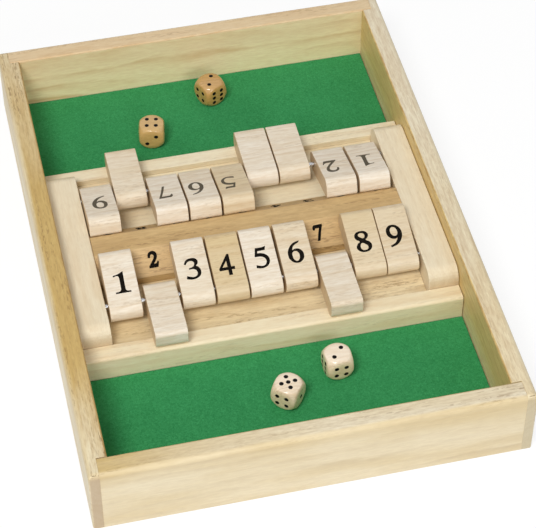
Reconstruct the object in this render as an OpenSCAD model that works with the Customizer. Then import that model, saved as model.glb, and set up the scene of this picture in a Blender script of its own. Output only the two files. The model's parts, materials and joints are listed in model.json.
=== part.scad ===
// Wooden shut the box game for two players: an open tray with a felted dice well at each end.
// Between the wells a ridge parts two rows of nine numbered tiles, which turn on steel rods.
// X runs left to right, Y front to rear, Z up. The origin is the centre of the underside.

/* [Case] */
// Height of the four walls
case_h = 41; // [32:0.5:56]
// Thickness of the four walls
wall_t = 11; // [8:0.5:16]
// Radius on the outer top edge of the walls
rim_round = 3; // [1:0.25:5]
// Radius on the inner top edge of the walls
rim_ease = 1; // [0.5:0.25:2]
// Thickness of the lip of end grain that covers each corner joint
lip_t = 5.5; // [4.5:0.25:6.5]
// Depth of the groove that holds the bottom panel
groove_d = 4; // [2.5:0.25:4.25]
// Play of the bottom panel at the foot of each groove
panel_play = 0.3; // [0.1:0.05:0.6]
// Play of the bottom panel between the cheeks of each groove
panel_slip = 0.1; // [0.05:0.05:0.3]

/* [Bottom and felt] */
// Height of the bottom panel above the table
panel_rise = 4.4; // [2.5:0.1:7]
// Thickness of the bottom panel
panel_t = 3; // [2:0.25:5]
// Length of each dice well, from rail to end wall
well_l = 74.2; // [62:0.1:100]
// Thickness of the felt
felt_t = 1; // [0.5:0.1:2]
// Clear strip round the edge of each felt
felt_edge = 0.4; // [0.2:0.1:1]

/* [Tiles] */
// Width of a tile
tile_w = 17; // [14:0.25:22]
// Length of a tile
tile_l = 38.5; // [32:0.5:50]
// Thickness of a tile
tile_t = 11.2; // [8:0.1:13]
// Radius on the numbered edge of the free end
tile_nose = 4.5; // [1:0.25:5]
// Radius on the plain edge of the free end
tile_back = 2.5; // [0.5:0.25:3]
// From the round end of a tile to the axis of its rod
tile_heel = 8.5; // [7:0.25:11]
// Space between tiles when they are spread evenly
tile_gap = 1.55; // [1:0.05:3]
// Slope of a tile whose number shows
tile_tilt = 15; // [11:0.1:22]
// Air left where a tile comes to rest
rest_air = 0.06; // [0.03:0.01:0.15]

/* [Rods] */
// Diameter of the steel rods
rod_d = 2.5; // [1.5:0.1:4]
// Radial play of a tile on its rod
rod_play = 0.05; // [0.02:0.01:0.1]
// Radial play of a rod in an end block
rod_fit = 0.02; // [0.01:0.01:0.05]
// Length of rod held in each end block
rod_grip = 10; // [6:0.5:14]
// Space beyond each end of a rod
rod_slack = 0.3; // [0.1:0.1:1]

/* [Ridge] */
// Half the width of the flat top of the ridge
ridge_half = 6.4; // [4:0.1:10]
// Width of a number face, measured down its slope
face_w = 15.6; // [11:0.1:18]
// Slope of the number faces
face_slope = 38.9; // [30:0.1:48]
// Wood above the place where a tile rests on its number face
face_above = 2.6; // [1:0.05:3]

/* [End blocks, rails and floors] */
// Width of an end block
block_w = 16.2; // [12:0.1:24]
// Wood above the axis of a rod
block_over = 3.8; // [2.5:0.1:8]
// Radius on the front and rear top edges of an end block
block_round = 8; // [3:0.5:12]
// Gap between glued pieces of the middle frame
glue_gap = 0.1; // [0.05:0.05:0.3]
// Gap between the middle frame and the side walls
side_gap = 0.3; // [0.1:0.05:0.8]
// Height of the rails above the bottom panel
rail_h = 15.1; // [13:0.1:22]
// Width of a rail
rail_w = 9.3; // [7:0.1:14]
// How far a rail reaches past the tiles that lie on it
rail_past = 0.2; // [0.1:0.1:3]
// Radius on the outer top edge of a rail
rail_round = 1.8; // [0.5:0.1:3]
// Air between a turning tile and the floor board under it
swing_air = 0.6; // [0.4:0.1:2]

/* [Dice] */
// Edge of a die
die_edge = 14.5; // [11:0.5:18]
// Diameter of the ball that rounds the corners, as a factor of the edge
die_ball = 1.3; // [1.2:0.01:1.45]
// Diameter of a pip
pip_d = 2.3; // [1.4:0.1:2.6]
// Depth of a pip
pip_deep = 0.35; // [0.2:0.05:0.6]
// From the middle of a face to a row of pips
pip_row = 2.55; // [2.3:0.05:3.4]
// From the middle of a six to its outer pips, along the rows of three
pip_long = 3.35; // [2.9:0.05:3.6]

/* [Hidden] */
$fn = 96;
// How far a cutting shape runs past the wood that it cuts
cut = 1;
// Tiles in each row
tile_count = 9;
// Whether each tile from 1 up has been turned over
front_turned = [false, true, false, false, false, false, true, false, false];
rear_turned = [false, false, true, true, false, false, false, true, false];
// How far each tile from 1 up has slid along its rod, as a share of the tile gap
front_slid = [0.5, 0.95, 1, 0.7, 0.25, 0.2, 0.05, 0.05, -0.65];
rear_slid = [-1.1, -0.95, -2.3, -1.8, -1.4, -1.05, -0.7, -0.55, -0.1];
// Where each die lies from the middle of its well, and its turn in degrees
front_left_lie = [-2.3, 2.1, -39.6];
front_right_lie = [26.6, 15.5, 3.6];
rear_left_lie = [-33.8, -9.3, -11.5];
rear_right_lie = [5.5, 17.5, -64.7];

// Heights above the table
panel_top = panel_rise + panel_t;
felt_top = panel_top + felt_t;
rail_top = panel_top + rail_h;
pivot_z = rail_top + rest_air + tile_t / 2;
floor_top = pivot_z - tile_heel - swing_air;
block_top = pivot_z + block_over;

// The round plain edge of a tilted tile rests on its number face: the centre of that round,
// along and across the tile from its rod, and the place of contact below it
tile_reach = tile_l - tile_heel;
back_u = tile_reach - tile_back;
back_w = tile_back - tile_t / 2;
back_air = tile_back + rest_air;
contact_z = pivot_z + back_u * sin(tile_tilt) + back_w * cos(tile_tilt) - back_air * cos(face_slope);
contact_y = ridge_half + face_above / tan(face_slope);
ridge_top = contact_z + face_above;
ridge_foot = ridge_half + face_w * cos(face_slope);
ridge_shoulder = ridge_top - face_w * sin(face_slope);

// Distances from the middle, front to rear
pivot_y = contact_y + back_air * sin(face_slope) + back_u * cos(tile_tilt) - back_w * sin(tile_tilt);
rail_out = pivot_y + tile_reach + rail_past;
rail_in = rail_out - rail_w;
well_out = rail_out + well_l;
well_mid = rail_out + well_l / 2;
case_l = 2 * (well_out + wall_t);

// Distances from the middle, left to right
tile_pitch = tile_w + tile_gap;
row_half = tile_count * tile_pitch / 2;
block_out = row_half + block_w;
inner_half = block_out + side_gap;
case_w = 2 * (inner_half + wall_t);
echo(pivot_y = pivot_y, pivot_z = pivot_z, turn = 180 - tile_tilt, case_w = case_w, case_l = case_l);

// A block from one corner to the other
module span(low, high) {
    translate(low) cube(high - low);
}

// The flat outline of one quarter of a round edge, drawn at the corner that it takes away
module edge_waste(radius) {
    translate([-radius, -radius]) difference() {
        square(radius + cut);
        circle(r = radius);
    }
}

// The section of a wall: outer face at 0, inner face at its thickness, top edges rounded
module wall_section() {
    difference() {
        square([wall_t, case_h]);
        translate([0, case_h]) mirror([1, 0]) edge_waste(rim_round);
        translate([wall_t, case_h]) edge_waste(rim_ease);
        translate([wall_t - groove_d, panel_rise - panel_slip / 2])
            square([groove_d + cut, panel_t + panel_slip]);
    }
}

// The side view of the whole case, with both ends of its top rounded like the walls
module case_section(length) {
    difference() {
        translate([-length / 2, 0]) square([length, case_h]);
        for (side = [0, 1]) mirror([side, 0]) translate([length / 2, case_h]) edge_waste(rim_round);
    }
}

// A side wall runs the full length and is rebated at both ends for the end walls
module side_wall() {
    intersection() {
        difference() {
            translate([-case_w / 2, case_l / 2, 0]) rotate([90, 0, 0])
                linear_extrude(case_l) wall_section();
            for (end = [-1, 1])
                translate([-case_w / 2 + lip_t, end * case_l / 2 - wall_t, -cut])
                    cube([wall_t, 2 * wall_t, case_h + 2 * cut]);
        }
        translate([-case_w / 2 - cut, 0, 0]) rotate([90, 0, 90])
            linear_extrude(wall_t + 2 * cut) case_section(case_l);
    }
}

module wall_left() {
    color("burlywood") side_wall();
}

module wall_right() {
    color("burlywood") mirror([1, 0, 0]) side_wall();
}

// An end wall fills the rebates, so the lips of the side walls cover its ends
module end_wall() {
    wall_l = case_w - 2 * lip_t;
    translate([-wall_l / 2, -case_l / 2, 0]) rotate([90, 0, 90]) linear_extrude(wall_l) wall_section();
}

module wall_front() {
    color("wheat") end_wall();
}

module wall_rear() {
    color("wheat") mirror([0, 1, 0]) end_wall();
}

module bottom_panel() {
    half_w = inner_half + groove_d - panel_play;
    half_l = well_out + groove_d - panel_play;
    color("tan") span([-half_w, -half_l, panel_rise], [half_w, half_l, panel_top]);
}

module felt() {
    span([-inner_half + felt_edge, rail_out + felt_edge, panel_top],
         [inner_half - felt_edge, well_out - felt_edge, felt_top]);
}

module felt_front() {
    color("seagreen") mirror([0, 1, 0]) felt();
}

module felt_rear() {
    color("seagreen") felt();
}

// An end block closes both rows: its top runs down in a quarter round at the rails
module end_block() {
    half_l = rail_in - glue_gap;
    difference() {
        translate([row_half, 0, 0]) rotate([90, 0, 90]) linear_extrude(block_w) difference() {
            translate([-half_l, panel_top]) square([2 * half_l, block_top - panel_top]);
            for (side = [0, 1])
                mirror([side, 0]) translate([half_l, block_top]) edge_waste(block_round);
        }
        for (side = [-1, 1])
            translate([row_half - cut, side * pivot_y, pivot_z]) rotate([0, 90, 0])
                cylinder(h = rod_grip + rod_slack + cut, r = rod_d / 2 + rod_fit);
    }
}

module end_block_left() {
    color("blanchedalmond") mirror([1, 0, 0]) end_block();
}

module end_block_right() {
    color("blanchedalmond") end_block();
}

// A rail runs from wall to wall and carries the tiles that have been turned over
module rail() {
    translate([-block_out, 0, 0]) rotate([90, 0, 90]) linear_extrude(2 * block_out) difference() {
        translate([rail_in, panel_top]) square([rail_w, rail_h]);
        translate([rail_out, rail_top]) edge_waste(rail_round);
    }
}

module rail_front() {
    color("blanchedalmond") mirror([0, 1, 0]) rail();
}

module rail_rear() {
    color("blanchedalmond") rail();
}

// A floor board lies under one row of tiles
module floor_board() {
    span([-row_half + glue_gap, ridge_foot + glue_gap, panel_top],
         [row_half - glue_gap, rail_in - glue_gap, floor_top]);
}

module floor_front() {
    color("burlywood") mirror([0, 1, 0]) floor_board();
}

module floor_rear() {
    color("blanchedalmond") floor_board();
}

// The ridge carries the second set of numbers on its two sloping faces
module ridge() {
    half_x = row_half - glue_gap;
    color("peru") translate([-half_x, 0, 0]) rotate([90, 0, 90]) linear_extrude(2 * half_x) polygon([
        [-ridge_foot, panel_top], [ridge_foot, panel_top], [ridge_foot, ridge_shoulder],
        [ridge_half, ridge_top], [-ridge_half, ridge_top], [-ridge_foot, ridge_shoulder]
    ]);
}

module rod() {
    half = row_half + rod_grip;
    translate([-half, 0, 0]) rotate([0, 90, 0]) cylinder(h = 2 * half, r = rod_d / 2);
}

module rod_front() {
    color("silver") translate([0, -pivot_y, pivot_z]) rod();
}

module rod_rear() {
    color("silver") translate([0, pivot_y, pivot_z]) rod();
}

// The side view of a tile about its rod: round heel, and both edges of the free end eased
module tile_section() {
    difference() {
        union() {
            translate([tile_t / 2 - tile_heel, 0]) circle(r = tile_t / 2);
            translate([tile_t / 2 - tile_heel, -tile_t / 2]) square([tile_l - tile_t / 2, tile_t]);
        }
        translate([tile_reach, tile_t / 2]) edge_waste(tile_nose);
        translate([tile_reach, -tile_t / 2]) mirror([0, 1]) edge_waste(tile_back);
    }
}

// A tile on its rod, free end towards +Y, turned up by an angle
module tile(angle) {
    color("antiquewhite") rotate([angle, 0, 0]) difference() {
        translate([-tile_w / 2, 0, 0]) rotate([90, 0, 90]) linear_extrude(tile_w) tile_section();
        translate([-tile_w / 2 - cut, 0, 0]) rotate([0, 90, 0])
            cylinder(h = tile_w + 2 * cut, r = rod_d / 2 + rod_play);
    }
}

function tile_x(number) = (number - (tile_count + 1) / 2) * tile_pitch;

module tile_front(number) {
    x = tile_x(number) + front_slid[number - 1] * tile_gap;
    translate([x, -pivot_y, pivot_z]) tile(front_turned[number - 1] ? 180 : tile_tilt);
}

// The rear row is the front row seen from the other player's side
module tile_rear(number) {
    x = rear_slid[number - 1] * tile_gap - tile_x(number);
    translate([x, pivot_y, pivot_z]) rotate([0, 0, 180])
        tile(rear_turned[number - 1] ? 180 : tile_tilt);
}

// Where the pips of a number lie on a face, one unit a row
function pips(number) = concat(
    number % 2 == 1 ? [[0, 0]] : [],
    number > 1 ? [[-1, -1], [1, 1]] : [],
    number > 3 ? [[-1, 1], [1, -1]] : [],
    number == 6 ? [[-1, 0], [1, 0]] : []
);

// The hollows of one face, on the plane z = 0, for a cut upwards into the wood below it
module pip_cuts(number, slant) {
    ball = (pip_d * pip_d / 4 + pip_deep * pip_deep) / (2 * pip_deep);
    for (pip = pips(number))
        translate([slant * pip[0] * pip_row, pip[1] * (number == 6 ? pip_long : pip_row), ball - pip_deep])
            sphere(r = ball);
}

// A die from its upper, front and right numbers; opposite faces add up to seven
module die(upper, front, right, slant) {
    difference() {
        intersection() {
            cube(die_edge, center = true);
            sphere(r = die_edge * die_ball / 2);
        }
        translate([0, 0, die_edge / 2]) pip_cuts(upper, slant);
        rotate([180, 0, 0]) translate([0, 0, die_edge / 2]) pip_cuts(7 - upper, slant);
        for (side = [[0, front], [90, right], [180, 7 - front], [270, 7 - right]])
            rotate([90, 0, side[0]]) translate([0, 0, die_edge / 2]) pip_cuts(side[1], slant);
    }
}

// Sets a die down in the front well (end = -1) or the rear one (end = 1)
module set_down(lie, end) {
    translate([lie[0], end * well_mid + lie[1], felt_top + rest_air + die_edge / 2])
        rotate([0, 0, lie[2]]) children();
}

module die_front_left() {
    color("wheat") set_down(front_left_lie, -1) die(5, 4, 1, 1);
}

module die_front_right() {
    color("wheat") set_down(front_right_lie, -1) die(2, 4, 1, 1);
}

module die_rear_left() {
    color("tan") set_down(rear_left_lie, 1) die(4, 2, 6, 1);
}

module die_rear_right() {
    color("tan") set_down(rear_right_lie, 1) die(2, 4, 6, -1);
}

wall_left();
wall_right();
wall_front();
wall_rear();
bottom_panel();
felt_front();
felt_rear();
end_block_left();
end_block_right();
rail_front();
rail_rear();
floor_front();
floor_rear();
ridge();
rod_front();
rod_rear();
for (number = [1:tile_count]) {
    tile_front(number);
    tile_rear(number);
}
die_front_left();
die_front_right();
die_rear_left();
die_rear_right();
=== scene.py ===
import json
import math

import bmesh
import bpy
import numpy as np
from mathutils import Matrix, Vector


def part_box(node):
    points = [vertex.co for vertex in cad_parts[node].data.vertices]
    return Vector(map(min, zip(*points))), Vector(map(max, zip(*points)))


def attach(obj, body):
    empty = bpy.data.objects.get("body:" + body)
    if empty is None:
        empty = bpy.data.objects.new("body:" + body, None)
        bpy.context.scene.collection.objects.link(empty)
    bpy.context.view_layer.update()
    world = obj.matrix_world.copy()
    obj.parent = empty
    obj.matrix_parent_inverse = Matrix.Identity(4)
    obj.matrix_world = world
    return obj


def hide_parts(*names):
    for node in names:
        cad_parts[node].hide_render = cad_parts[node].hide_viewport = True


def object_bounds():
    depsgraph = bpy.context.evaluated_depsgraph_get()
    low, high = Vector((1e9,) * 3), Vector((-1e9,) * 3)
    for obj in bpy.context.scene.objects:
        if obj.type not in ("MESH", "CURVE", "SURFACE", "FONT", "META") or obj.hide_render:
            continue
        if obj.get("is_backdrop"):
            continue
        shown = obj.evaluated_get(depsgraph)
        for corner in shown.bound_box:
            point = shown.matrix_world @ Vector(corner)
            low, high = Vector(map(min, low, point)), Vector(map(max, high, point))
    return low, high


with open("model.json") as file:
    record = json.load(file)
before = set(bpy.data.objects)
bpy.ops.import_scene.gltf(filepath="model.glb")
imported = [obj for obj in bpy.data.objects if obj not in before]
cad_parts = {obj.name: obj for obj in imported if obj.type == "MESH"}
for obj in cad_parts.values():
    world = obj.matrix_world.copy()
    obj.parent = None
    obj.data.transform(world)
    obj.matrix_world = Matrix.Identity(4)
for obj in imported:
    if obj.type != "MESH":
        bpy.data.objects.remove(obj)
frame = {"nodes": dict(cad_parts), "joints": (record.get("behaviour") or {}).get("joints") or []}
cad_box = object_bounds()
scene = bpy.context.scene
scene.view_settings.view_transform = "Standard"
MM = 0.001

# Studio: the camera stands above the front left corner with a long lens.
# A soft lamp hangs high on the left, a weaker one stands in front, and a white room fills the shadows.
CAMERA_PLACE = Vector((-0.1595, -0.742, 0.8245))
CAMERA_AIM = Vector((0.0064, -0.0208, 0.02))
CAMERA_LENS = 139.06
# Each lamp's place, its width in metres and its power in watts
LAMPS = {
    "high_lamp": (Vector((-0.70, -1.00, 1.70)), 0.75, 24.4),
    "front_lamp": (Vector((0.30, -1.72, 0.90)), 0.75, 6.9),
}
ROOM_LIGHT = 0.37
TABLE_SIZE = 6.0
TABLE_GAP = 0.02 * MM
# Light that the table throws back, what the camera sees of it, and the glow that makes the rest
TABLE_WHITE = 0.8
SEEN_WHITE = 0.22
SEEN_GLOW = 0.81


def add(tree, kind, values=None, **settings):
    """Adds a node; values are numbers or other nodes' outputs for its sockets."""
    made = tree.nodes.new(kind)
    for name, value in settings.items():
        setattr(made, name, value)
    for socket, value in (values or {}).items():
        if isinstance(value, bpy.types.NodeSocket):
            tree.links.new(value, made.inputs[socket])
        else:
            made.inputs[socket].default_value = value
    return made


def math_of(tree, operation, first, second=0.0, third=0.0, clamp=False):
    """The result of one arithmetic node."""
    values = {0: first, 1: second, 2: third}
    return add(tree, "ShaderNodeMath", values, operation=operation, use_clamp=clamp).outputs[0]


def grey(level):
    """A grey or white that throws back this share of the light."""
    return level, level, level, 1.0


def aimed(place, target):
    """The turn that points a camera or lamp at a target."""
    return (target - place).to_track_quat("-Z", "Y").to_matrix().to_4x4()


camera_data = bpy.data.cameras.new("camera")
camera_data.sensor_fit = "HORIZONTAL"
camera_data.sensor_width = 36.0
camera_data.lens = CAMERA_LENS
camera_data.clip_start = 0.05
camera_data.clip_end = 20.0
camera = bpy.data.objects.new("camera", camera_data)
camera.matrix_world = Matrix.Translation(CAMERA_PLACE) @ aimed(CAMERA_PLACE, CAMERA_AIM)
scene.collection.objects.link(camera)
scene.camera = camera

for name, (place, wide, power) in LAMPS.items():
    lamp_data = bpy.data.lights.new(name, "AREA")
    lamp_data.shape = "DISK"
    lamp_data.size = wide
    lamp_data.energy = power
    lamp = bpy.data.objects.new(name, lamp_data)
    lamp.matrix_world = Matrix.Translation(place) @ aimed(place, Vector((0, 0, 0)))
    scene.collection.objects.link(lamp)


def seen_rays(tree):
    """One where a ray comes straight from the camera, or by way of gloss or glass."""
    path = add(tree, "ShaderNodeLightPath").outputs
    straight = math_of(tree, "MAXIMUM", path["Is Camera Ray"], path["Is Glossy Ray"])
    return math_of(tree, "MAXIMUM", straight, path["Is Transmission Ray"])


room = bpy.data.worlds.new("room")
room.use_nodes = True
room.node_tree.nodes.clear()
room_strength = math_of(room.node_tree, "MAXIMUM", seen_rays(room.node_tree), ROOM_LIGHT)
room_colour = {"Color": grey(1.0), "Strength": room_strength}
room_light = add(room.node_tree, "ShaderNodeBackground", room_colour)
add(room.node_tree, "ShaderNodeOutputWorld", {"Surface": room_light.outputs[0]})
scene.world = room


def new_material(name):
    """An empty material and its tree."""
    material = bpy.data.materials.new(name)
    material.use_nodes = True
    material.node_tree.nodes.clear()
    return material, material.node_tree


def table_white():
    """A matt white table that the camera sees a little brighter than it is lit."""
    material, tree = new_material("table_white")
    matt = add(tree, "ShaderNodeBsdfDiffuse", {"Color": grey(TABLE_WHITE)})
    seen_matt = add(tree, "ShaderNodeBsdfDiffuse", {"Color": grey(SEEN_WHITE)})
    glow = add(tree, "ShaderNodeEmission", {"Color": grey(1.0), "Strength": SEEN_GLOW})
    seen = add(tree, "ShaderNodeAddShader", {0: seen_matt.outputs[0], 1: glow.outputs[0]})
    pair = {"Fac": seen_rays(tree), 1: matt.outputs[0], 2: seen.outputs[0]}
    add(tree, "ShaderNodeOutputMaterial", {"Surface": add(tree, "ShaderNodeMixShader", pair).outputs[0]})
    return material


table_mesh = bpy.data.meshes.new("table")
half = TABLE_SIZE / 2
corners = [(x * half, y * half, -TABLE_GAP) for x, y in ((-1, -1), (1, -1), (1, 1), (-1, 1))]
table_mesh.from_pydata(corners, [], [(0, 1, 2, 3)])
table_mesh.materials.append(table_white())
table = bpy.data.objects.new("table", table_mesh)
scene.collection.objects.link(table)
table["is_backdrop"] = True

# Walls of the tray: four planed boards of pale hardwood under a satin varnish.
# The end walls are let into rebates of the side walls, so a lip of end grain shows at each corner.
# All edges are sanded by hand, the outer corners a little more.
WALL_EDGE = 0.12 * MM
WALL_CORNER = 1.0 * MM
RIM_ROUND = 3 * MM
WELD = 0.001 * MM
# Turn at an edge within one flat, within a smooth curve, and at a square corner
FLAT = math.radians(1.0)
SMOOTH = math.radians(6.0)
SQUARE = math.radians(90.0)


def settled(piece):
    """Turns a piece and its modifiers into a plain mesh."""
    scene.collection.objects.link(piece)
    depsgraph = bpy.context.evaluated_depsgraph_get()
    mesh = bpy.data.meshes.new_from_object(piece.evaluated_get(depsgraph), depsgraph=depsgraph)
    piece.modifiers.clear()
    piece.data = mesh
    mesh.name = piece.name
    return piece


def sanded(node, edge, corner=0.0, is_corner=None):
    """A copy of a sawn piece with its facets joined and its sharp edges rounded, the blunt ones less.
    Edges that is_corner picks get the larger radius, corner."""
    widest = max(edge, corner)
    shape = bmesh.new()
    shape.from_mesh(frame["nodes"][node].data)
    bmesh.ops.remove_doubles(shape, verts=shape.verts, dist=WELD)
    bmesh.ops.dissolve_limit(shape, angle_limit=FLAT, verts=shape.verts, edges=shape.edges)
    rounding = shape.edges.layers.float.new("bevel_weight_edge")
    for line in shape.edges:
        angle = line.calc_face_angle(0.0)
        if angle > SMOOTH:
            broad = is_corner is not None and is_corner(line)
            line[rounding] = (corner if broad else edge) / widest * min(1.0, angle / SQUARE)
    for side in shape.faces:
        side.smooth = True
    mesh = bpy.data.meshes.new(node)
    shape.to_mesh(mesh)
    shape.free()
    piece = bpy.data.objects.new(node + "_wood", mesh)
    bevel = piece.modifiers.new("sanding", "BEVEL")
    bevel.limit_method = "WEIGHT"
    bevel.width = widest
    bevel.segments = 3
    bevel.use_clamp_overlap = False
    weighted = piece.modifiers.new("flat faces", "WEIGHTED_NORMAL")
    weighted.weight = 80
    return settled(piece)


def mark(piece, name, value, drift=0.0):
    """Stores a number on all of a piece for its material to read; drift is its rise towards the right."""
    layer = piece.data.attributes.new(name, "FLOAT", "POINT")
    for corner, stored in zip(piece.data.vertices, layer.data):
        stored.value = value + drift * corner.co.x / cad_box[1].x


def blended(tree, share, first, second):
    """Two colours mixed by a share."""
    return add(tree, "ShaderNodeMix", {0: share, 6: first, 7: second}, data_type="RGBA").outputs[2]


def between(tree, value, low, high):
    """A value stretched so that low becomes 0 and high becomes 1."""
    values = {"Value": value, "From Min": low, "From Max": high}
    return add(tree, "ShaderNodeMapRange", values, clamp=True).outputs["Result"]


def vector_of(tree, operation, first, second, third=(0, 0, 0)):
    """The result of one arithmetic node on places."""
    return add(tree, "ShaderNodeVectorMath", {0: first, 1: second, 2: third}, operation=operation).outputs[0]


def grain_noise(tree, place, along, across, detail=2.0, roughness=0.5):
    """Noise drawn out along the grain; along and across are its repeats a metre."""
    drawn = vector_of(tree, "MULTIPLY", place, (along, across, across))
    values = {"Vector": drawn, "Scale": 1.0, "Detail": detail, "Roughness": roughness}
    return add(tree, "ShaderNodeTexNoise", values).outputs["Fac"]


def pattern(tree, place, low, high, **grain):
    """Noise along the grain, stretched so that low becomes 0 and high becomes 1."""
    return between(tree, grain_noise(tree, place, **grain), low, high)


def paint(red, green, blue):
    """A colour given as it looks on a screen, 0 to 255, in the values that a shader takes."""
    shares = [value / 255 for value in (red, green, blue)]
    return tuple(s / 12.92 if s <= 0.04045 else ((s + 0.055) / 1.055) ** 2.4 for s in shares) + (1.0,)


# Patterns in wood: repeats a metre along and across the grain, and the levels that show none and all
PATTERNS = {
    "ring_fade": dict(along=16, across=75, low=0.38, high=0.66),
    "patches": dict(along=7, across=30, detail=3.0, low=0.3, high=0.7),
    "fibres": dict(along=85, across=1300, detail=4.0, roughness=0.65, low=0.32, high=0.7),
    "mottling": dict(along=170, across=800, detail=3.0, roughness=0.6, low=0.38, high=0.62),
    "pore_rows": dict(along=22, across=620, low=0.45, high=0.6),
    "pore_dashes": dict(along=300, across=1300, roughness=0.6, low=0.48, high=0.6),
    "flecks": dict(along=12, across=90, detail=3.0, low=0.42, high=0.6),
}
# Each whole board is cut this much further on in the pattern, in metres
BOARD_STEP = (0.31, 0.017, 0.013)
# Rings: how far they sway and ripple, how narrow a year's dark end is, and where its start is pale again
RING_SWAY = 20 * MM
RING_RIPPLE = 2.4 * MM
LATE_POWER = 2.5
EARLY_SHARE = 0.2
# How much patches and flecks warm the wood, and what part mottling has in the streaks, beside fibres
PATCH_WARMER = 0.3
FLECK_WARMER = 0.3
MOTTLE_SHARE = 0.45
# Open pores: their colour, their depth in streaks, and how many show where no flecks are
PORE_BROWN = paint(130, 92, 46)
PORE_DEPTH = 1.5
PORES_LEAST = 0.2
# Roughness that fibres add, and how squarely a face has to look along the grain to be end grain
FIBRE_ROUGH = 0.14
END_POWER = 4.0


def own_tone(tree):
    """The tone that a piece carries, and the share of its pores and of its streaks that shows: all."""
    return add(tree, "ShaderNodeAttribute", attribute_name="tone").outputs["Fac"], 1.0, 1.0


def wood(name, pale, warm, dark, pith, rings, along="X", ring_gap=4.5 * MM, streaks=0.3, pores=0.4,
         end=paint(168, 132, 88), end_grain=0.4, gloss=0.42, toned=own_tone):
    """Varnished wood cut from one solid pattern, so that faces, ends and edges agree.
    Its rings run round the pith, a line along the grain, given across the piece and up.
    A tone of 0 is the pale colour and 1 the warm one. Gloss is the least roughness of the varnish."""
    material, tree = new_material(name)
    coordinates = add(tree, "ShaderNodeTexCoord").outputs
    turn = (0, 0, 0) if along == "X" else (0, 0, -math.pi / 2)
    turned = add(tree, "ShaderNodeMapping", {"Vector": coordinates["Object"], "Rotation": turn}).outputs[0]
    board = add(tree, "ShaderNodeAttribute", attribute_name="board").outputs["Fac"]
    place = vector_of(tree, "MULTIPLY_ADD", board, BOARD_STEP, turned)
    seen = {name: pattern(tree, place, **sizes) for name, sizes in PATTERNS.items()}
    tone, pores_shown, streaks_shown = toned(tree)

    sway = math_of(tree, "SUBTRACT", grain_noise(tree, place, along=9, across=34), 0.5)
    ripple = math_of(tree, "SUBTRACT", grain_noise(tree, place, along=60, across=210), 0.5)
    spread = vector_of(tree, "MULTIPLY_ADD", place, (0, 1, 1), (0, -pith[0], -pith[1]))
    radius = add(tree, "ShaderNodeVectorMath", {0: spread}, operation="LENGTH").outputs["Value"]
    radius = math_of(tree, "MULTIPLY_ADD", sway, RING_SWAY, radius)
    radius = math_of(tree, "MULTIPLY_ADD", ripple, RING_RIPPLE, radius)
    year = math_of(tree, "FRACT", math_of(tree, "DIVIDE", radius, ring_gap))
    late = math_of(tree, "POWER", year, LATE_POWER)
    early = between(tree, year, low=EARLY_SHARE, high=0.0)
    ring = math_of(tree, "MULTIPLY", math_of(tree, "MAXIMUM", late, early), seen["ring_fade"])

    warmth = math_of(tree, "MULTIPLY_ADD", seen["flecks"], pores * FLECK_WARMER, tone)
    warmth = math_of(tree, "MULTIPLY_ADD", seen["patches"], PATCH_WARMER, warmth, clamp=True)
    colour = blended(tree, warmth, pale, warm)
    colour = blended(tree, math_of(tree, "MULTIPLY", ring, rings), colour, dark)
    fibres = math_of(tree, "MULTIPLY", seen["fibres"], 1.0 - MOTTLE_SHARE)
    grain = math_of(tree, "MULTIPLY_ADD", seen["mottling"], MOTTLE_SHARE, fibres)
    streak = math_of(tree, "MULTIPLY", grain, math_of(tree, "MULTIPLY", streaks_shown, streaks))
    colour = blended(tree, streak, colour, dark)
    pore = math_of(tree, "MULTIPLY", seen["pore_rows"], seen["pore_dashes"])
    pore = math_of(tree, "MULTIPLY", pore, math_of(tree, "MULTIPLY", pores_shown, pores))
    gathered = math_of(tree, "MULTIPLY_ADD", seen["flecks"], 1.0 - PORES_LEAST, PORES_LEAST)
    pore = math_of(tree, "MULTIPLY", pore, gathered)
    colour = blended(tree, pore, colour, PORE_BROWN)
    facing = add(tree, "ShaderNodeSeparateXYZ", {0: coordinates["Normal"]}).outputs
    sawn = math_of(tree, "POWER", math_of(tree, "ABSOLUTE", facing[along]), END_POWER)
    colour = blended(tree, math_of(tree, "MULTIPLY", sawn, end_grain), colour, end)

    height = math_of(tree, "MULTIPLY_ADD", pore, -PORE_DEPTH, grain)
    bump = add(tree, "ShaderNodeBump", {"Height": height, "Strength": 0.4, "Distance": 0.05 * MM})
    sheen = math_of(tree, "MULTIPLY_ADD", seen["fibres"], FIBRE_ROUGH, gloss)
    shader = {"Base Color": colour, "Roughness": sheen, "Normal": bump.outputs[0]}
    varnish = add(tree, "ShaderNodeBsdfPrincipled", shader)
    varnish.inputs["Coat Weight"].default_value = 0.1
    varnish.inputs["Coat Roughness"].default_value = 0.3
    add(tree, "ShaderNodeOutputMaterial", {"Surface": varnish.outputs[0]})
    return material


# A side counts as outer, or turned round as inner, by its distance from the tray's middle times how
# squarely it faces outward: from the first value on, and in full at the second
SIDE_REACH = (10 * MM, 80 * MM)
# How far up a surface faces where the rim's painted shade starts, and where the top and its open pores do
SHADED_RIM_TILT = (0.05, 0.3)
TOP_TILT = (0.3, 0.9)
# Tones and streaks: painted shade warms and streaks the rim's inner edge, the brow below its outer edge is
# warmer, painted light makes the inner side paler towards its foot, and the streaks are faint on the outer
# side
RIM_PAINTED_SHADE = 0.6
RIM_SHADE_STREAKS = 1.5
BROW_WARMER = 0.25
BROW_HEIGHT = (29 * MM, 37 * MM)
INNER_PAINTED_LIGHT = 0.6
INNER_LIGHT_HEIGHT = (30 * MM, 10 * MM)
OUTER_STREAKS = 0.5


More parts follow.
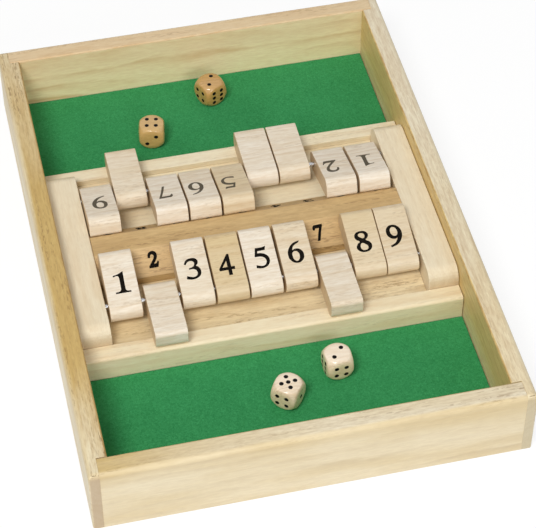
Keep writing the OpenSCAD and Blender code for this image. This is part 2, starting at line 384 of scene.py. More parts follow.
def wall_tone(along, top, inner, outer):
    """The tone of one wall: top at the start, middle and end of the board, inner and outer on its sides.
    A curve goes through the three tones on top. The shares of the pores and of the streaks come along."""
    def toned(tree):
        coordinates = add(tree, "ShaderNodeTexCoord").outputs
        spot = add(tree, "ShaderNodeSeparateXYZ", {0: coordinates["Object"]}).outputs
        facing = add(tree, "ShaderNodeSeparateXYZ", {0: coordinates["Normal"]}).outputs
        start, middle, finish = top
        far = math_of(tree, "DIVIDE", spot[along], cad_box[1].x if along == "X" else cad_box[1].y)
        bow = math_of(tree, "MULTIPLY_ADD", far, (start + finish) / 2 - middle, (finish - start) / 2)
        upper = math_of(tree, "MULTIPLY_ADD", far, bow, middle)
        lengthwise = math_of(tree, "MULTIPLY", spot["Y"], facing["Y"])
        outward = math_of(tree, "MULTIPLY_ADD", spot["X"], facing["X"], lengthwise)
        within = between(tree, outward, low=-SIDE_REACH[0], high=-SIDE_REACH[1])
        without = between(tree, outward, low=SIDE_REACH[0], high=SIDE_REACH[1])
        # Painted light: the inner side is made paler towards its foot, lifting the shade near the felt
        inner_with_painted_light = math_of(tree, "MULTIPLY_ADD", between(tree, spot["Z"], *INNER_LIGHT_HEIGHT), -INNER_PAINTED_LIGHT, inner)
        tone = add(tree, "ShaderNodeMix", {0: within, 2: upper, 3: inner_with_painted_light}).outputs[0]
        tone = add(tree, "ShaderNodeMix", {0: without, 2: tone, 3: outer}).outputs[0]
        # Painted shade: a warmer, streakier band where the rim's inner edge rounds over into the inner side
        rim = math_of(tree, "MULTIPLY", within, between(tree, facing["Z"], *SHADED_RIM_TILT))
        tone = math_of(tree, "MULTIPLY_ADD", rim, RIM_PAINTED_SHADE, tone)
        brow = math_of(tree, "MULTIPLY", without, between(tree, spot["Z"], *BROW_HEIGHT))
        tone = math_of(tree, "MULTIPLY_ADD", brow, BROW_WARMER, tone)
        streaks = math_of(tree, "MULTIPLY_ADD", without, OUTER_STREAKS - 1.0, 1.0)
        streaks = math_of(tree, "MULTIPLY_ADD", rim, RIM_SHADE_STREAKS, streaks)
        return tone, between(tree, facing["Z"], *TOP_TILT), streaks
    return toned


def fitted(piece, body, node, material, board, tone=0.0, drift=0.0):
    """Gives a wooden piece its finish and puts it in place of its sawn blank."""
    mark(piece, "board", board)
    mark(piece, "tone", tone, drift)
    piece.data.materials.append(material)
    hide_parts(node)
    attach(piece, body)


def outer_corner(line):
    """True for the edges that run up an outer corner of the tray and on over its rounded rim."""
    for end in line.verts:
        from_side = cad_box[1].x - abs(end.co.x)
        from_end = cad_box[1].y - abs(end.co.y)
        if abs(from_side - from_end) >= WELD or from_side >= RIM_ROUND + WELD:
            return False
    return True


left_wood = wood("golden_left_wall", paint(250, 240, 208), paint(210, 180, 112), paint(172, 132, 68),
                 along="Y", end=paint(186, 162, 132), rings=0.25, streaks=0.55, pores=0.7, end_grain=0.8,
                 pith=(0.16, -0.03), toned=wall_tone("Y", (-0.15, 0.95, -0.12), 0.9, 0.0))
right_wood = wood("pale_right_wall", paint(251, 244, 221), paint(234, 208, 140), paint(174, 132, 72),
                  along="Y", end=paint(190, 174, 138), rings=0.3, streaks=0.5, pores=0.2, end_grain=0.7,
                  pith=(-0.16, -0.03), toned=wall_tone("Y", (0.2, 0.07, 0.0), 1.1, 0.0))
front_wood = wood("pale_front_wall", paint(249, 239, 213), paint(210, 182, 118), paint(180, 154, 114),
                  along="X", rings=0.3, streaks=0.5, pores=0.6, ring_gap=7 * MM, pith=(-0.15, -0.1),
                  toned=wall_tone("X", (0.8, 0.05, -0.12), 0.6, 0.2))
rear_wood = wood("pale_rear_wall", paint(255, 238, 194), paint(232, 208, 168), paint(200, 150, 84),
                 along="X", rings=0.6, streaks=0.3, pores=0.5, ring_gap=9 * MM, pith=(0.15, -0.1),
                 toned=wall_tone("X", (0.8, 0.75, 0.6), 0.0, -0.2))
# Each wall's wood, material slot and board
WALLS = {
    "wall_left": (left_wood, "side_wall_wood", 0.2),
    "wall_right": (right_wood, "side_wall_wood", 1.7),
    "wall_front": (front_wood, "end_wall_wood", 0.6),
    "wall_rear": (rear_wood, "end_wall_wood", 2.9),
}
for node, (material, slot, board) in WALLS.items():
    wall = sanded(node, WALL_EDGE, WALL_CORNER, outer_corner)
    fitted(wall, "case", node, material, board)

# Bottom panel: a sheet of thin plywood in a groove round the walls, seen only from below.
# Its face veneer is plain and a little rough, with the grain along the tray.
PANEL_EDGE = 0.1 * MM
plywood = wood("plywood_veneer", paint(214, 190, 150), paint(200, 170, 124), paint(160, 124, 80),
               along="Y", ring_gap=9 * MM, rings=0.25, gloss=0.6, pith=(0.0, -0.02))
panel = sanded("bottom_panel", PANEL_EDGE)
fitted(panel, "case", "bottom_panel", plywood, board=4.1, tone=0.2)

# Felt: a green cloth glued to the panel in each dice well, cut with scissors.
# Its edges waver slightly and its face is a dense mat of short fibres.
FELT_GRID = 0.8 * MM
# How far the rim wavers and the face dips, and the repeats of both a metre
FELT_WAVER = 0.12 * MM
FELT_UNEVEN = 0.12 * MM
WAVER_REPEATS = 95.0
DIP_REPEATS = 260.0
# Shares that the fibres, the tufts that they mat into and wide clouds have in the felt's colour
FIBRE_SHARE = 0.63
TUFT_SHARE = 0.25
CLOUD_SHARE = 0.12


def felt_green():
    """Dyed wool felt: mottled at the size of its fibres, with a soft bloom."""
    material, tree = new_material("felt_green")
    place = add(tree, "ShaderNodeTexCoord").outputs["Object"]
    mat = {"Vector": place, "Scale": 1300.0, "Detail": 3.0, "Roughness": 0.7, "Distortion": 1.6}
    fibres = add(tree, "ShaderNodeTexNoise", mat).outputs["Fac"]
    wide = {"Vector": place, "Scale": 55.0, "Detail": 3.0, "Roughness": 0.6}
    clouds = add(tree, "ShaderNodeTexNoise", wide).outputs["Fac"]
    tufts = add(tree, "ShaderNodeTexNoise", {"Vector": place, "Scale": 900.0, "Detail": 2.0}).outputs["Fac"]
    share = math_of(tree, "MULTIPLY", between(tree, fibres, low=0.35, high=0.65), FIBRE_SHARE)
    share = math_of(tree, "MULTIPLY_ADD", between(tree, tufts, low=0.35, high=0.65), TUFT_SHARE, share)
    share = math_of(tree, "MULTIPLY_ADD", between(tree, clouds, low=0.3, high=0.7), CLOUD_SHARE, share)
    colour = blended(tree, share, paint(28, 116, 60), paint(68, 165, 101))
    bump = add(tree, "ShaderNodeBump", {"Height": fibres, "Strength": 0.6, "Distance": 0.25 * MM})
    cloth = {"Base Color": colour, "Roughness": 0.95, "Normal": bump.outputs[0]}
    shader = add(tree, "ShaderNodeBsdfPrincipled", cloth)
    shader.inputs["Specular IOR Level"].default_value = 0.15
    shader.inputs["Sheen Weight"].default_value = 0.25
    shader.inputs["Sheen Roughness"].default_value = 0.5
    shader.inputs["Sheen Tint"].default_value = paint(170, 225, 180)
    add(tree, "ShaderNodeOutputMaterial", {"Surface": shader.outputs[0]})
    return material


def felt_tree():
    """A cut cloth by rule: a grid whose rim wavers and whose face dips, given its thickness."""
    tree = bpy.data.node_groups.new("felt_cloth", "GeometryNodeTree")
    tree.interface.new_socket("Geometry", in_out="INPUT", socket_type="NodeSocketGeometry")
    for name in ("Width", "Length", "Thickness", "Grid", "Waver", "Uneven"):
        tree.interface.new_socket(name, in_out="INPUT", socket_type="NodeSocketFloat")
    tree.interface.new_socket("Place", in_out="INPUT", socket_type="NodeSocketVector")
    tree.interface.new_socket("Material", in_out="INPUT", socket_type="NodeSocketMaterial")
    tree.interface.new_socket("Geometry", in_out="OUTPUT", socket_type="NodeSocketGeometry")
    inputs = add(tree, "NodeGroupInput").outputs
    across = math_of(tree, "DIVIDE", inputs["Width"], inputs["Grid"])
    down = math_of(tree, "DIVIDE", inputs["Length"], inputs["Grid"])
    size = {"Size X": inputs["Width"], "Size Y": inputs["Length"], "Vertices X": across, "Vertices Y": down}
    grid = add(tree, "GeometryNodeMeshGrid", size).outputs["Mesh"]

    spot = add(tree, "GeometryNodeInputPosition").outputs[0]
    moved = vector_of(tree, "ADD", spot, inputs["Place"])
    noise = {"Vector": moved, "Scale": WAVER_REPEATS, "Detail": 3.0}
    wander = add(tree, "ShaderNodeTexNoise", noise).outputs["Color"]
    centred = vector_of(tree, "SUBTRACT", wander, (0.5, 0.5, 0.5))
    flat = {0: vector_of(tree, "MULTIPLY", centred, (1, 1, 0)), "Scale": inputs["Waver"]}
    waver = add(tree, "ShaderNodeVectorMath", flat, operation="SCALE").outputs[0]
    fine = {"Vector": moved, "Scale": DIP_REPEATS, "Detail": 2.0}
    dents = add(tree, "ShaderNodeTexNoise", fine).outputs["Fac"]
    dip = math_of(tree, "MULTIPLY", dents, math_of(tree, "MULTIPLY", inputs["Uneven"], -1.0))
    sunk = add(tree, "ShaderNodeCombineXYZ", {"Z": dip}).outputs[0]
    offset = vector_of(tree, "ADD", vector_of(tree, "ADD", waver, sunk), inputs["Place"])
    laid = add(tree, "GeometryNodeSetPosition", {"Geometry": grid, "Offset": offset}).outputs[0]

    down_by = math_of(tree, "MULTIPLY", inputs["Thickness"], -1.0)
    lower = add(tree, "ShaderNodeCombineXYZ", {"Z": down_by}).outputs[0]
    values = {"Mesh": laid, "Offset": lower, "Individual": False}
    cloth = add(tree, "GeometryNodeExtrudeMesh", values)
    turned = add(tree, "GeometryNodeFlipFaces", {"Mesh": cloth.outputs["Mesh"]}).outputs[0]
    joined = add(tree, "GeometryNodeJoinGeometry")
    tree.links.new(laid, joined.inputs[0])
    tree.links.new(turned, joined.inputs[0])
    doubled = {"Geometry": joined.outputs[0], "Distance": WELD}
    closed = add(tree, "GeometryNodeMergeByDistance", doubled).outputs[0]
    soft = add(tree, "GeometryNodeSetShadeSmooth", {"Geometry": closed}).outputs[0]
    real = add(tree, "GeometryNodeRealizeInstances", {"Geometry": soft}).outputs[0]
    dyed = add(tree, "GeometryNodeSetMaterial", {"Geometry": real, "Material": inputs["Material"]}).outputs[0]
    add(tree, "NodeGroupOutput", {"Geometry": dyed})
    return tree


def grown(piece, tree, inputs):
    """Runs a tree of Geometry Nodes on a piece and keeps the result as a plain mesh."""
    modifier = piece.modifiers.new("rule", "NODES")
    modifier.node_group = tree
    for item in tree.interface.items_tree:
        if item.in_out == "INPUT" and item.name in inputs:
            modifier[item.identifier] = inputs[item.name]
    return settled(piece)


felt_rule = felt_tree()
felt_dye = felt_green()
for node in ("felt_front", "felt_rear"):
    low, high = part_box(node)
    width, length = high.x - low.x, high.y - low.y
    sizes = {
        "Width": width, "Length": length, "Thickness": high.z - low.z - FELT_UNEVEN,
        "Grid": FELT_GRID, "Waver": 2 * FELT_WAVER, "Uneven": FELT_UNEVEN,
        "Place": ((low.x + high.x) / 2, (low.y + high.y) / 2, high.z), "Material": felt_dye,
    }
    felt = grown(bpy.data.objects.new(node + "_cloth", bpy.data.meshes.new(node)), felt_rule, sizes)
    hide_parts(node)
    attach(felt, "case")

# Middle frame: two end blocks, two rails and a floor board under each row of tiles.
# All are pale planed wood, glued to the panel; the rails keep a satin gleam on their rounded edge.
FRAME_EDGE = 0.4 * MM
rail_wood = wood("pale_rail", paint(250, 240, 210), paint(234, 212, 166), paint(206, 164, 102),
                 along="X", ring_gap=6 * MM, rings=0.4, streaks=0.25, pores=0.2, pith=(0.03, -0.02))
block_wood = wood("pale_block", paint(244, 233, 206), paint(234, 214, 175), paint(204, 174, 128),
                  along="Y", ring_gap=5 * MM, rings=0.28, streaks=0.3, pores=0.1, pith=(0.09, 0.06))
floor_wood = wood("tan_floor", paint(248, 232, 194), paint(220, 192, 138), paint(176, 140, 84),
                  along="X", ring_gap=3.6 * MM, rings=0.4, streaks=0.35, pores=0.5, pith=(-0.06, -0.01))
# Each piece's wood, material slot, board, tone, and the tone's rise towards the right
MIDDLE = {
    "end_block_left": (block_wood, "frame_wood", 0.4, 0.1, 0.0),
    "end_block_right": (block_wood, "frame_wood", 1.9, 0.0, 0.0),
    "rail_front": (rail_wood, "frame_wood", 0.9, 0.12, 0.12),
    "rail_rear": (rail_wood, "frame_wood", 2.3, -0.1, 0.0),
    "floor_front": (floor_wood, "floor_wood", 0.1, 0.1, -0.4),
    "floor_rear": (rail_wood, "frame_wood", 3.1, -0.1, -0.1),
}
for node, (material, slot, board, tone, drift) in MIDDLE.items():
    fitted(sanded(node, FRAME_EDGE), "case", node, material, board, tone, drift)

# Ridge: a bar of browner wood between the two rows, with a flat top and two sloping faces.
# The tiles lean on the faces, and each face carries the row's numbers a second time.
ridge_wood = wood("tan_ridge", paint(224, 194, 140), paint(208, 172, 114), paint(152, 112, 62),
                  along="X", ring_gap=3.2 * MM, rings=0.4, streaks=0.4, pores=0.6, pith=(0.03, -0.03))
fitted(sanded("ridge", FRAME_EDGE), "case", "ridge", ridge_wood, board=5.2, tone=0.3)

# Rods: two drawn steel rods that run through the tiles into blind holes of the end blocks.
# They show only as glints in the gaps between the tiles.
STEEL_ROUGH = 0.12
STEEL_MARKED = 0.2


def drawn_steel():
    """Bright drawn steel with fine marks along the rod."""
    material, tree = new_material("drawn_steel")
    place = add(tree, "ShaderNodeTexCoord").outputs["Object"]
    marks = grain_noise(tree, place, along=60, across=4000)
    colour = blended(tree, marks, paint(206, 206, 208), paint(170, 172, 176))
    rough = math_of(tree, "MULTIPLY_ADD", marks, STEEL_MARKED, STEEL_ROUGH)
    finish = {"Base Color": colour, "Metallic": 1.0, "Roughness": rough}
    shader = add(tree, "ShaderNodeBsdfPrincipled", finish)
    add(tree, "ShaderNodeOutputMaterial", {"Surface": shader.outputs[0]})
    return material


steel = drawn_steel()
for node in ("rod_front", "rod_rear"):
    rod = frame["nodes"][node]
    rod.data.materials.clear()
    rod.data.materials.append(steel)

# Tiles: nine a row, blocks of pale wood with the grain across, drilled for the rod near the round end.
# A tile turns over toward its player; its boards differ in tone, from pinkish white to peach.
TILE_EDGE = 0.45 * MM
TILES = range(1, 10)
# How far apart the tiles' boards are, and how much further on the rear row's lie
BOARDS_APART = 1.37
REAR_BOARDS = 0.6
# Tones of the tiles from 1 to 9
TONES = {
    "front": [0.08, 0.1, 0.15, 0.72, -0.05, 0.3, 0.05, 0.6, 0.38],
    "rear": [0.02, 0.05, 0.15, 0.0, 0.5, 0.08, -0.05, 0.25, 0.1],
}
# The tiles' sides are end grain, and their darker end colour is partly painted shade that darkens the narrow
# gaps between tiles
tile_wood = wood("pale_tile", paint(252, 245, 232), paint(220, 198, 152), paint(200, 166, 118),
                 along="X", end=paint(200, 170, 126), ring_gap=4 * MM, rings=0.4, streaks=0.42, pores=0.25,
                 end_grain=0.75, gloss=0.38, pith=(0.02, 0.05))
joints = {joint["name"]: joint for joint in frame["joints"]}


def tile_axes(row, number):
    """A tile's own axes: x across it, y from the rod to the free end, z out of its numbered side."""
    joint = joints[f"tile_{row}_{number}_turn"]
    low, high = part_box(f"tile_{row}_{number}")
    lean = 180.0 - max(abs(limit) for limit in joint["range_deg"])
    shown = max(joint["range_deg"]) > 0
    turn = Matrix.Rotation(math.radians(lean if shown else 180.0), 4, "X")
    if row == "rear":
        turn = Matrix.Rotation(math.pi, 4, "Z") @ turn
    pivot = Vector(joint["pos_m"])
    pivot.x = (low.x + high.x) / 2
    return Matrix.Translation(pivot) @ turn


for row, tones in TONES.items():
    for number in TILES:
        node = f"tile_{row}_{number}"
        board = number * BOARDS_APART + (REAR_BOARDS if row == "rear" else 0.0)
        fitted(sanded(node, TILE_EDGE), node, node, tile_wood, board, tones[number - 1])

# Numbers: thin prints of black ink on the tiles, and on the two faces of the ridge, smaller and bolder. On
# the rear row the ink is painted grey, a painted reflection of the bright room in faces that tilt away. Each
# number is one or more outlines, in millimetres from its lower left corner: a point marked ROUND lies on a
# round stretch, and one without is a corner.
ROUND = "round"
INK_THICK = 0.03 * MM
INK_WORN = 0.35
# Width of a tile, and height of its numbered side above its rod
TILE_WIDE = 17 * MM
TILE_FACE = 5.6 * MM
# How much smaller the ridge's numbers are along and up the slope, and the width that centres them
RIDGE_NUMBER = (0.62, 0.656)
NUMBER_WIDE = 7.8
# How far the outlines are swelled
RIDGE_BOLD = 0.62
TILE_BOLD = {"front": 0.14, "rear": 0.04}
OUTLINES = {
    1: [[(0.2, 10.4), (2.6, 10.9, ROUND), (5.4, 12.2), (5.2, 6.0), (5.2, 1.9), (5.7, 1.0, ROUND),
         (7.8, 0.6), (7.8, 0.0), (0.1, 0.0), (0.1, 0.6), (2.4, 1.0, ROUND), (3.1, 1.9), (3.2, 6.0),
         (3.2, 9.2), (2.5, 10.1, ROUND), (0.2, 9.8)]],
    2: [[(0.2, 8.3), (0.7, 10.8, ROUND), (3.5, 12.3, ROUND), (6.3, 11.3, ROUND), (7.0, 8.7, ROUND),
         (5.5, 5.3, ROUND), (2.9, 2.0), (5.8, 2.0), (6.9, 2.7, ROUND), (7.5, 3.7), (7.9, 3.5), (6.9, 0.0),
         (0.3, 0.0), (0.3, 0.9), (2.9, 4.0, ROUND), (4.9, 7.0, ROUND), (5.2, 9.4, ROUND),
         (3.4, 10.8, ROUND), (1.8, 10.1, ROUND), (1.1, 8.1)]],
    3: [[(0.2, 9.3), (1.5, 11.3, ROUND), (4.1, 12.1, ROUND), (6.7, 11.3, ROUND), (7.3, 9.4, ROUND),
         (5.9, 7.4), (7.3, 6.3, ROUND), (8.0, 4.0, ROUND), (7.1, 1.5, ROUND), (4.6, 0.1, ROUND),
         (2.2, 0.0, ROUND), (0.1, 0.6), (0.5, 2.1), (2.2, 1.4, ROUND), (4.3, 1.1, ROUND), (5.9, 2.1, ROUND),
         (6.2, 4.0, ROUND), (4.9, 5.7, ROUND), (2.2, 5.9), (2.4, 6.5), (4.6, 7.1, ROUND), (5.5, 8.8, ROUND),
         (4.9, 10.3, ROUND), (3.3, 10.7, ROUND), (1.9, 10.2, ROUND), (0.8, 8.8)]],
    4: [[(5.3, 12.1), (6.2, 12.1), (6.2, 4.6), (8.0, 4.6), (8.0, 3.1), (6.2, 3.1), (6.2, 0.0), (4.5, 0.0),
         (4.5, 3.1), (0.0, 3.1), (0.0, 4.2)],
        [(4.5, 8.8), (1.5, 4.6), (4.5, 4.6)]],
    5: [[(1.6, 11.9), (5.0, 11.8), (6.9, 12.3), (6.3, 10.3), (2.3, 10.2), (2.0, 8.7), (4.4, 8.4, ROUND),
         (6.8, 6.9, ROUND), (7.7, 4.4, ROUND), (6.9, 1.8, ROUND), (4.6, 0.2, ROUND), (2.2, 0.0, ROUND),
         (0.2, 0.5), (0.4, 1.9), (2.2, 1.3, ROUND), (4.4, 1.2, ROUND), (5.9, 2.8, ROUND), (5.9, 4.9, ROUND),
         (4.4, 6.5, ROUND), (0.5, 7.0)]],
    6: [[(7.0, 12.6), (4.1, 11.8, ROUND), (1.4, 9.4, ROUND), (0.0, 5.4, ROUND), (1.0, 1.6, ROUND),
         (4.1, 0.0, ROUND), (7.1, 1.6, ROUND), (8.0, 4.4, ROUND), (7.0, 7.2, ROUND), (4.7, 8.2, ROUND),
         (2.4, 7.5), (3.4, 9.9, ROUND), (6.7, 11.9)],
        [(3.9, 7.1, ROUND), (5.4, 6.2, ROUND), (5.9, 3.9, ROUND), (5.2, 1.8, ROUND), (4.1, 1.0, ROUND),
         (2.6, 1.8, ROUND), (2.0, 4.2, ROUND), (2.4, 6.4, ROUND)]],
    7: [[(0.1, 9.0), (0.1, 11.0, ROUND), (1.0, 12.0), (7.4, 12.2), (7.4, 11.4), (5.7, 6.2, ROUND),
         (4.1, 0.0), (2.9, 0.0), (4.2, 5.2, ROUND), (5.9, 10.4), (2.3, 10.4), (1.3, 10.1, ROUND),
         (0.7, 8.9)]],
    8: [[(3.8, 12.3, ROUND), (6.3, 11.7, ROUND), (7.3, 9.9, ROUND), (6.5, 8.0, ROUND), (5.5, 7.1, ROUND),
         (7.3, 5.4, ROUND), (8.0, 3.3, ROUND), (6.8, 0.9, ROUND), (4.1, 0.0, ROUND), (1.2, 0.8, ROUND),
         (0.0, 2.9, ROUND), (1.0, 5.1, ROUND), (2.3, 6.3, ROUND), (0.8, 7.7, ROUND), (0.2, 9.6, ROUND),
         (1.2, 11.5, ROUND)],
        [(3.8, 11.3, ROUND), (5.3, 10.6, ROUND), (5.6, 9.4, ROUND), (4.7, 8.0, ROUND), (3.0, 8.6, ROUND),
         (2.0, 9.9, ROUND), (2.4, 10.9, ROUND)],
        [(3.2, 5.5, ROUND), (5.0, 4.5, ROUND), (6.1, 3.0, ROUND), (5.6, 1.4, ROUND), (4.1, 0.9, ROUND),
         (2.4, 1.5, ROUND), (1.9, 3.1, ROUND), (2.3, 4.7, ROUND)]],
    9: [[(3.7, 12.8, ROUND), (6.6, 11.5, ROUND), (7.9, 8.2, ROUND), (7.0, 4.2, ROUND), (4.3, 1.2, ROUND),
         (0.9, 0.0), (0.6, 0.7), (3.6, 2.3, ROUND), (5.5, 5.3), (3.6, 4.6, ROUND), (1.0, 5.9, ROUND),
         (0.0, 9.0, ROUND), (1.2, 11.9, ROUND)],
        [(3.8, 11.7, ROUND), (5.3, 10.8, ROUND), (5.9, 8.6, ROUND), (5.3, 6.6, ROUND), (4.0, 6.1, ROUND),
         (2.5, 7.0, ROUND), (1.9, 9.1, ROUND), (2.5, 11.1, ROUND)]],
}
# Lower left corner of each print, in millimetres from the tile's left edge and from its rod
PRINTS = {
    "front": [(5.0, 3.5), (5.0, 3.7), (4.4, 4.5), (3.9, 3.4), (5.1, 4.2), (4.5, 3.8), (4.8, 3.7),
              (3.9, 3.5), (3.7, 3.6)],
    "rear": [(5.6, 8.1), (6.6, 8.5), (5.4, 7.9), (5.2, 7.9), (6.7, 8.1), (6.5, 8.3), (5.9, 7.4), (5.2, 7.7),
             (4.6, 6.8)],
}
# Numbers on the ridge, in millimetres: middle from the middle of the place, and foot below the top edge
RIDGE_PRINTS = [(0.0, 11.0), (1.75, 10.9), (0.3, 11.2), (-0.2, 11.0), (0.4, 11.1), (0.0, 11.0), (-0.85, 11.4),
                (0.2, 11.0), (0.1, 11.0)]


def printing_ink(name, colour):
    """Matt printing ink, a little thin where the wood's fibres stand up."""
    material, tree = new_material(name)
    place = add(tree, "ShaderNodeTexCoord").outputs["Object"]
    thin = pattern(tree, place, low=0.6, high=0.8, along=300, across=1700, detail=3.0, roughness=0.7)
    worn = blended(tree, math_of(tree, "MULTIPLY", thin, INK_WORN), colour, paint(120, 100, 80))
    shader = add(tree, "ShaderNodeBsdfPrincipled", {"Base Color": worn, "Roughness": 0.8})
    shader.inputs["Specular IOR Level"].default_value = 0.1
    add(tree, "ShaderNodeOutputMaterial", {"Surface": shader.outputs[0]})
    return material


def number_mesh(number, bold):
    """A thin flat number, in metres, with its lower left corner at the origin."""
    curve = bpy.data.curves.new("number", "CURVE")
    curve.dimensions = "2D"
    curve.fill_mode = "BOTH"
    curve.resolution_u = 6
    curve.extrude = INK_THICK / MM / 2
    curve.offset = bold
    for outline in OUTLINES[number]:
        spline = curve.splines.new("BEZIER")
        spline.bezier_points.add(len(outline) - 1)
        spline.use_cyclic_u = True
        for point, (x, y, *kind) in zip(spline.bezier_points, outline):
            point.co = (x, y, 0)
            handle = "AUTO" if kind else "VECTOR"
            point.handle_left_type = point.handle_right_type = handle
    drawn = bpy.data.objects.new("number", curve)
    scene.collection.objects.link(drawn)
    depsgraph = bpy.context.evaluated_depsgraph_get()
    mesh = bpy.data.meshes.new_from_object(drawn.evaluated_get(depsgraph), depsgraph=depsgraph)
    bpy.data.objects.remove(drawn)
    mesh.transform(Matrix.Scale(MM, 4))
    return mesh


def cleaned(mesh):
    """Joins a mesh's doubled points and points its faces outward."""
    shape = bmesh.new()
    shape.from_mesh(mesh)
    bmesh.ops.remove_doubles(shape, verts=shape.verts, dist=WELD)
    bmesh.ops.recalc_face_normals(shape, faces=shape.faces)
    shape.to_mesh(mesh)
    shape.free()


ink = {
    "front": printing_ink("black_print", paint(10, 6, 2)),
    # The rear row's grey is a painted reflection of the bright room in faces that tilt away; the ink itself
    # is black
    "rear": printing_ink("grey_print_painted_reflection", paint(98, 90, 76)),
}
for row, prints in PRINTS.items():
    for number in TILES:
        left, foot = prints[number - 1]
        corner = Vector((left * MM - TILE_WIDE / 2, foot * MM, TILE_FACE))
        mesh = number_mesh(number, TILE_BOLD[row])
        mesh.transform(tile_axes(row, number) @ Matrix.Translation(corner))
        cleaned(mesh)
        mesh.materials.append(ink[row])
        printed = bpy.data.objects.new(f"number_{row}_{number}", mesh)
        scene.collection.objects.link(printed)
        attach(printed, f"tile_{row}_{number}")


def ridge_axes(row):
    """Axes of a sloping number face: x to its player's right, y up the slope from its top edge, z out."""
    ridge = [corner.co for corner in frame["nodes"]["ridge"].data.vertices]
    top = max(corner.z for corner in ridge)
    edge = max(corner.y for corner in ridge if corner.z > top - WELD)
    foot = max(corner.y for corner in ridge)
    shoulder = max(corner.z for corner in ridge if corner.y > foot - WELD)
    slope = math.atan2(top - shoulder, foot - edge)
    axes = Matrix.Translation((0, -edge, top)) @ Matrix.Rotation(slope, 4, "X")
    return axes if row == "front" else Matrix.Rotation(math.pi, 4, "Z") @ axes


first, last = (joints[f"tile_front_{number}_turn"]["pos_m"][0] for number in (TILES[0], TILES[-1]))
pitch = (last - first) / (len(TILES) - 1)
middle = (TILES[0] + TILES[-1]) / 2
for row in PRINTS:
    numbers = bmesh.new()
    for number in TILES:
        aside, foot = RIDGE_PRINTS[number - 1]
        mesh = number_mesh(number, RIDGE_BOLD)
        wide = NUMBER_WIDE * RIDGE_NUMBER[0] * MM
        corner = Vector(((number - middle) * pitch + aside * MM - wide / 2, -foot * MM, 0))
        size = Matrix.Diagonal((RIDGE_NUMBER[0], RIDGE_NUMBER[1], 1.0, 1.0))
        mesh.transform(ridge_axes(row) @ Matrix.Translation(corner) @ size)
        numbers.from_mesh(mesh)
        bpy.data.meshes.remove(mesh)
    joined = bpy.data.meshes.new(f"ridge_numbers_{row}")
    numbers.to_mesh(joined)
    numbers.free()
    cleaned(joined)
    joined.materials.append(ink["front"])
    printed = bpy.data.objects.new(f"ridge_numbers_{row}", joined)
    scene.collection.objects.link(printed)
    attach(printed, "case")

# Dice: small wooden cubes turned round at the corners, with drilled and blackened pips.
# The front player's pair is pale and the rear player's pair is tan, both thickly varnished.
DIE_GRID = 60
# Painted shade: how much warmer and darker a die's sides are made below its upper side
SIDE_PAINTED_SHADE = 0.3
# Half a die's width, the radius of the ball that rounds its corners, and the stretch where they melt into
# each other
DIE_HALF = 7.25 * MM
DIE_BALL = 9.425 * MM
DIE_MELT = 1.3 * MM
# Pips: their size, how far the rows lie from the middle of a side, and how far a six's rows reach
PIP_RADIUS = 1.15 * MM
PIP_DEPTH = 0.35 * MM
PIP_ROW = 2.55 * MM
PIP_LONG = 3.35 * MM
# Where the black ends and where it is full, from a pip's middle in pip radii; far is past all pips
PIP_STAIN = (1.08, 0.98)
FAR_FROM_PIP = 9.0
PIP_BLACK = paint(9, 8, 7)


def die_tone_and_painted_shade(tree):
    """A die's own tone plus painted shade, warmer from its upper side down, with its pores and streaks as
    they are.
    """
    normal = add(tree, "ShaderNodeTexCoord").outputs["Normal"]
    facing = add(tree, "ShaderNodeSeparateXYZ", {0: normal}).outputs
    tone, pores, streaks = own_tone(tree)
    painted_shade_share = between(tree, facing["Z"], low=0.9, high=-0.3)
    return math_of(tree, "MULTIPLY_ADD", painted_shade_share, SIDE_PAINTED_SHADE, tone), pores, streaks


def die_wood(name, pale, warm, dark):
    """Close-grained wood under a thick glossy varnish, stained black at the pips."""
    material = wood(name, pale, warm, dark, ring_gap=2.2 * MM, rings=0.25, streaks=0.25, pores=0.25,
                    end_grain=0.1, gloss=0.2, pith=(0.1, 0.02), toned=die_tone_and_painted_shade)
    tree = material.node_tree
    varnish = next(node for node in tree.nodes if node.type == "BSDF_PRINCIPLED")
    bare = varnish.inputs["Base Color"].links[0].from_socket
    away = add(tree, "ShaderNodeAttribute", attribute_name="pip").outputs["Fac"]
    stained = blended(tree, between(tree, away, *PIP_STAIN), bare, PIP_BLACK)
    tree.links.new(stained, varnish.inputs["Base Color"])
    varnish.inputs["Coat Weight"].default_value = 0.6
    varnish.inputs["Coat Roughness"].default_value = 0.1
    return material


def pip_paint():
    """Matt black paint at the bottom of a drilled pip, a little uneven."""
    material, tree = new_material("pip_paint")
    place = add(tree, "ShaderNodeTexCoord").outputs["Object"]
    specks = add(tree, "ShaderNodeTexNoise", {"Vector": place, "Scale": 3000.0, "Detail": 2.0}).outputs["Fac"]
    colour = blended(tree, specks, PIP_BLACK, paint(20, 17, 15))
    shader = add(tree, "ShaderNodeBsdfPrincipled", {"Base Color": colour, "Roughness": 0.7})
    shader.inputs["Specular IOR Level"].default_value = 0.08
    add(tree, "ShaderNodeOutputMaterial", {"Surface": shader.outputs[0]})
    return material


def pip_places(number, slant):
    """Where the pips of a number lie on its side; slant -1 swaps left and right."""
    long = PIP_LONG if number == 6 else PIP_ROW
    pips = [(0.0, 0.0)] if number % 2 else []
    pips += [(-slant * PIP_ROW, -long), (slant * PIP_ROW, long)] if number > 1 else []
    pips += [(-slant * PIP_ROW, long), (slant * PIP_ROW, -long)] if number > 3 else []
    pips += [(-slant * PIP_ROW, 0.0), (slant * PIP_ROW, 0.0)] if number == 6 else []
    return pips


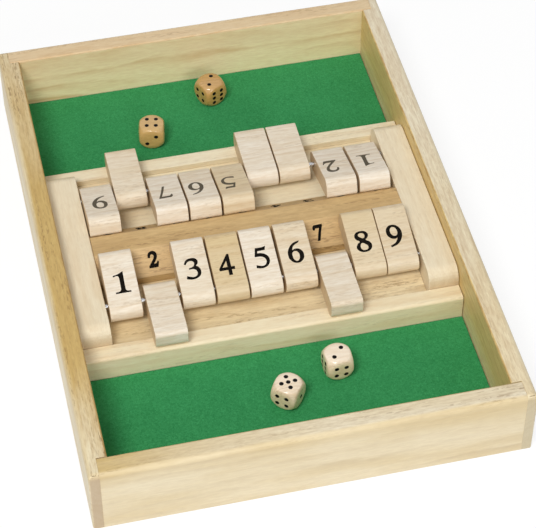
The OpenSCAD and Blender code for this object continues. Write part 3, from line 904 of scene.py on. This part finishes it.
def die_side(number, slant):
    """One side of a die, facing +Z: its points and how far each lies from a pip, in pip radii.
    The flat melts into the ball that rounds the corners."""
    steps = np.tan(np.linspace(-math.pi / 4, math.pi / 4, DIE_GRID + 1))
    across, up = (grid.ravel() for grid in np.meshgrid(steps, steps))
    ways = np.stack([across, up, np.ones_like(across)], axis=1)
    ways /= np.linalg.norm(ways, axis=1)[:, None]
    to_flat = DIE_HALF / ways[:, 2]
    near = np.maximum(DIE_MELT - np.abs(to_flat - DIE_BALL), 0) / DIE_MELT
    points = ways * (np.minimum(to_flat, DIE_BALL) - near ** 2 * DIE_MELT / 4)[:, None]
    away = np.full(len(points), FAR_FROM_PIP)
    for place in pip_places(number, slant):
        away = np.minimum(away, np.hypot(points[:, 0] - place[0], points[:, 1] - place[1]) / PIP_RADIUS)
    points[:, 2] -= PIP_DEPTH * np.maximum(1 - away ** 2, 0)
    return points, away


def die_body(node, upper, front, right, slant, turn):
    """A die from its upper, front and right numbers; opposite sides add up to seven."""
    low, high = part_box(node)
    stand = Matrix.Translation((low + high) / 2) @ Matrix.Rotation(math.radians(turn), 4, "Z")
    to_front = Matrix.Rotation(math.pi / 2, 4, "X")
    sides = [(upper, Matrix()), (7 - upper, Matrix.Rotation(math.pi, 4, "X"))]
    for quarter, number in enumerate((front, right, 7 - front, 7 - right)):
        sides.append((number, Matrix.Rotation(quarter * math.pi / 2, 4, "Z") @ to_front))
    shape = bmesh.new()
    pip = shape.verts.layers.float.new("pip")
    wide = DIE_GRID + 1
    for number, turned in sides:
        points, away = die_side(number, slant)
        placed = stand @ turned
        corners = [shape.verts.new(placed @ Vector(point)) for point in points]
        for corner, distance in zip(corners, away):
            corner[pip] = distance
        for row in range(DIE_GRID):
            for first in range(row * wide, row * wide + DIE_GRID):
                around = [first + step for step in (0, 1, wide + 1, wide)]
                side = shape.faces.new([corners[place] for place in around])
                side.smooth = True
                side.material_index = int(all(away[place] < 1.0 for place in around))
    bmesh.ops.remove_doubles(shape, verts=shape.verts, dist=WELD)
    mesh = bpy.data.meshes.new(node)
    shape.to_mesh(mesh)
    shape.free()
    return bpy.data.objects.new(node + "_body", mesh)


pip_black = pip_paint()
pale_die = die_wood("pale_die", paint(255, 247, 232), paint(244, 208, 152), paint(204, 160, 100))
tan_die = die_wood("tan_die", paint(220, 184, 120), paint(206, 160, 92), paint(150, 98, 44))
# Each die's wood, material slot, board, tone and lie: upper, front and right numbers, slant, turn in degrees
DICE = {
    "die_front_left": (pale_die, "die_wood_pale", 0.3, 0.0, (5, 4, 1, 1, -39.6)),
    "die_front_right": (pale_die, "die_wood_pale", 1.3, 0.15, (2, 4, 1, 1, 3.6)),
    "die_rear_left": (tan_die, "die_wood_tan", 2.3, 0.0, (4, 2, 6, 1, -11.5)),
    "die_rear_right": (tan_die, "die_wood_tan", 3.3, 0.6, (2, 4, 6, -1, -64.7)),
}
for node, (material, slot, board, tone, lie) in DICE.items():
    die = die_body(node, *lie)
    scene.collection.objects.link(die)
    fitted(die, node, node, material, board, tone)
    die.data.materials.append(pip_black)

size = [[list(corner) for corner in box] for box in (cad_box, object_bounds())]
